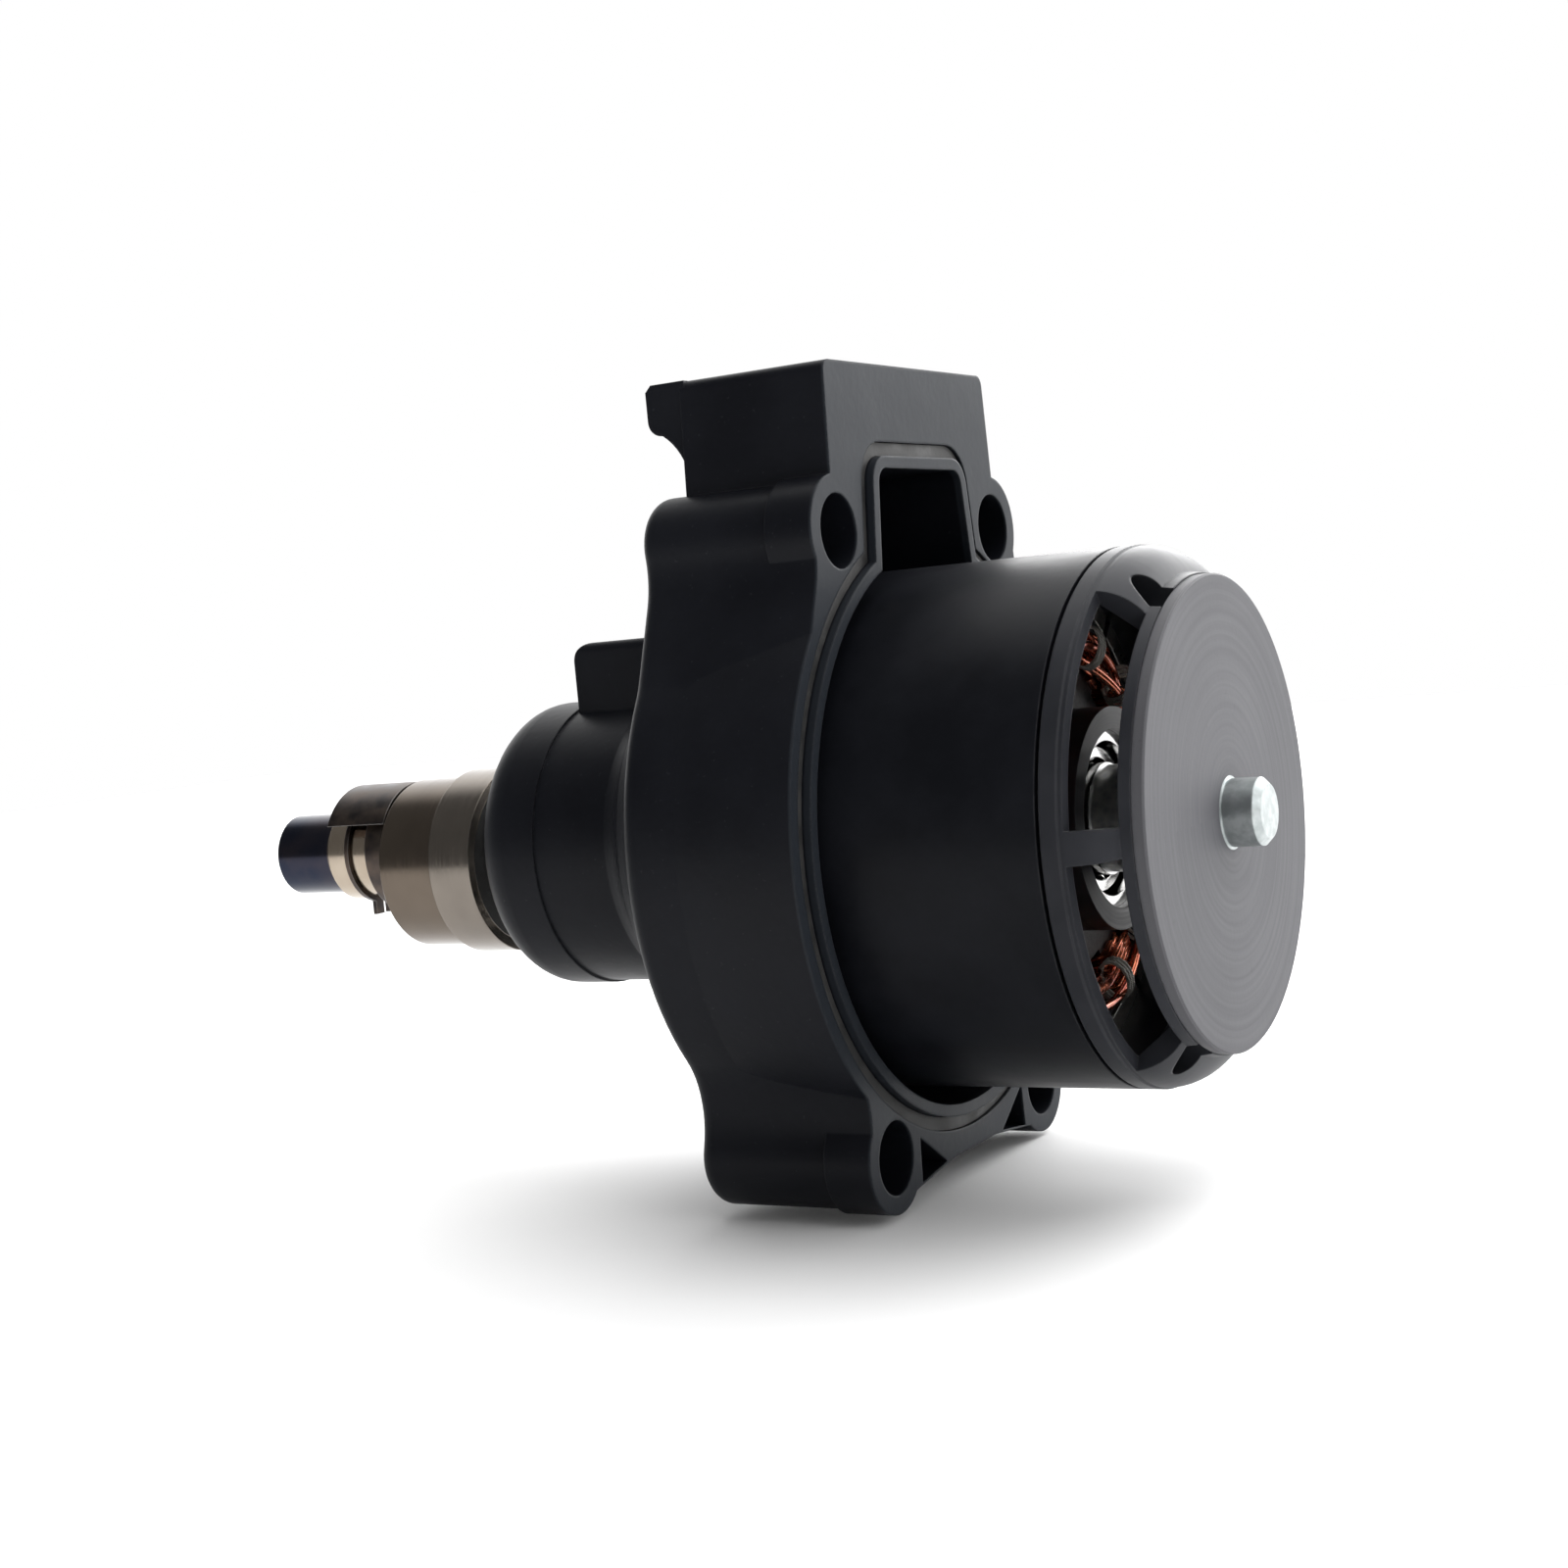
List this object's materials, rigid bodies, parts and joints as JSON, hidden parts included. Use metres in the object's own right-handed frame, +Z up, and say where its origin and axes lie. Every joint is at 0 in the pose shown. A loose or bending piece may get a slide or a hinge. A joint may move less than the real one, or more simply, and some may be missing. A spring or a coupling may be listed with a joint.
{
  "type": "brushless hydraulic drive motor",
  "caption": "Outer-rotor electric motor in a black cast housing, with a bolted rear face and a stepped output shaft carrying an eccentric needle bearing ring.",
  "frame": {"origin": "on the motor axis, in the plane of the housing's rear mounting face", "axes": "+X along the motor axis towards the rotor's end disc, -X towards the output journal, +Z up towards the terminal box"},
  "size_m": [0.1096, 0.0588, 0.0748],
  "materials": {
    "black_casting": "satin black coating on a die casting",
    "black_rubber": "moulded rubber",
    "black_anodised": "turned aluminium, black anodised",
    "lamination_steel": "stacked sheet, varnished",
    "insulator_plastic": "moulded nylon",
    "copper_wire": "enamelled winding wire",
    "board_green": "solder mask",
    "plain_steel": "zinc plated",
    "socket_plastic": "moulded nylon",
    "black_steel": "satin black coating",
    "magnet_nickel": "nickel plated",
    "grey_disc": "matt grey coating",
    "ground_steel": "ground and polished",
    "nickel_steel": "nickel plated, turned",
    "dark_steel": "blackened and oiled",
    "bearing_steel": "ground and polished",
    "cage_brass": "pressed"
  },
  "bodies": {
    "base": {"housing": "black_casting", "face_seal": "black_rubber", "stator_tube": "black_anodised", "stator_stack": "lamination_steel", "front_insulator": "insulator_plastic", "rear_insulator": "insulator_plastic", "coils_phase_u": "copper_wire", "coils_phase_v": "copper_wire", "coils_phase_w": "copper_wire", "sensor_board": "board_green", "board_screws": "plain_steel", "hall_sensors": "insulator_plastic", "signal_socket": "socket_plastic", "front_bearing_outer_ring": "bearing_steel", "rear_bearing_outer_ring": "bearing_steel", "shaft_seal": "black_rubber", "wave_washer": "plain_steel"},
    "rotor": {"flux_ring": "black_steel", "magnets_north": "magnet_nickel", "magnets_south": "magnet_nickel", "end_bell": "black_steel", "end_disc": "grey_disc", "eccentric_shaft": "ground_steel", "hub_spacer": "plain_steel", "front_spacer": "plain_steel", "eccentric_sleeve": "bearing_steel", "counterweight": "dark_steel", "retaining_ring": "dark_steel", "front_bearing_inner_ring": "bearing_steel", "rear_bearing_inner_ring": "bearing_steel", "crank_bearing_inner_ring": "bearing_steel"},
    "front_bearing_set": {"front_bearing_balls": "bearing_steel", "front_bearing_cage": "bearing_steel"},
    "rear_bearing_set": {"rear_bearing_balls": "bearing_steel", "rear_bearing_cage": "bearing_steel"},
    "crank_bearing_set": {"crank_bearing_balls": "bearing_steel", "crank_bearing_cage": "bearing_steel"},
    "crank_bearing_outside": {"crank_bearing_outer_ring": "bearing_steel", "crank_bearing_seals": "black_rubber"},
    "eccentric_ring": {"needle_bearing_ring": "nickel_steel"},
    "needle_set": {"needle_rollers": "bearing_steel", "needle_cage": "cage_brass"}
  },
  "joints": [
    {"name": "rotor_spin", "type": "hinge", "parent": "base", "child": "rotor", "pos_m": [0, 0, 0], "axis": [1, 0, 0], "continuous": true},
    {"name": "front_bearing_spin", "type": "hinge", "parent": "base", "child": "front_bearing_set", "pos_m": [-0.0417, 0, 0], "axis": [1, 0, 0], "continuous": true},
    {"name": "rear_bearing_spin", "type": "hinge", "parent": "base", "child": "rear_bearing_set", "pos_m": [0.0137, 0, 0], "axis": [1, 0, 0], "continuous": true},
    {"name": "crank_outer_spin", "type": "hinge", "parent": "rotor", "child": "crank_bearing_outside", "pos_m": [-0.0511, 0, -0.0014], "axis": [1, 0, 0], "continuous": true},
    {"name": "crank_balls_spin", "type": "hinge", "parent": "rotor", "child": "crank_bearing_set", "pos_m": [-0.0511, 0, -0.0014], "axis": [1, 0, 0], "continuous": true},
    {"name": "ring_spin", "type": "hinge", "parent": "rotor", "child": "eccentric_ring", "pos_m": [-0.0574, 0, -0.0014], "axis": [1, 0, 0], "continuous": true},
    {"name": "needle_spin", "type": "hinge", "parent": "rotor", "child": "needle_set", "pos_m": [-0.0574, 0, -0.0014], "axis": [1, 0, 0], "continuous": true}
  ],
  "couplings": [
    {"joint": "front_bearing_spin", "follows": "rotor_spin", "ratio": 0.4},
    {"joint": "rear_bearing_spin", "follows": "rotor_spin", "ratio": 0.4083},
    {"joint": "crank_balls_spin", "follows": "crank_outer_spin", "ratio": 0.6069},
    {"joint": "needle_spin", "follows": "ring_spin", "ratio": 0.5553}
  ]
}
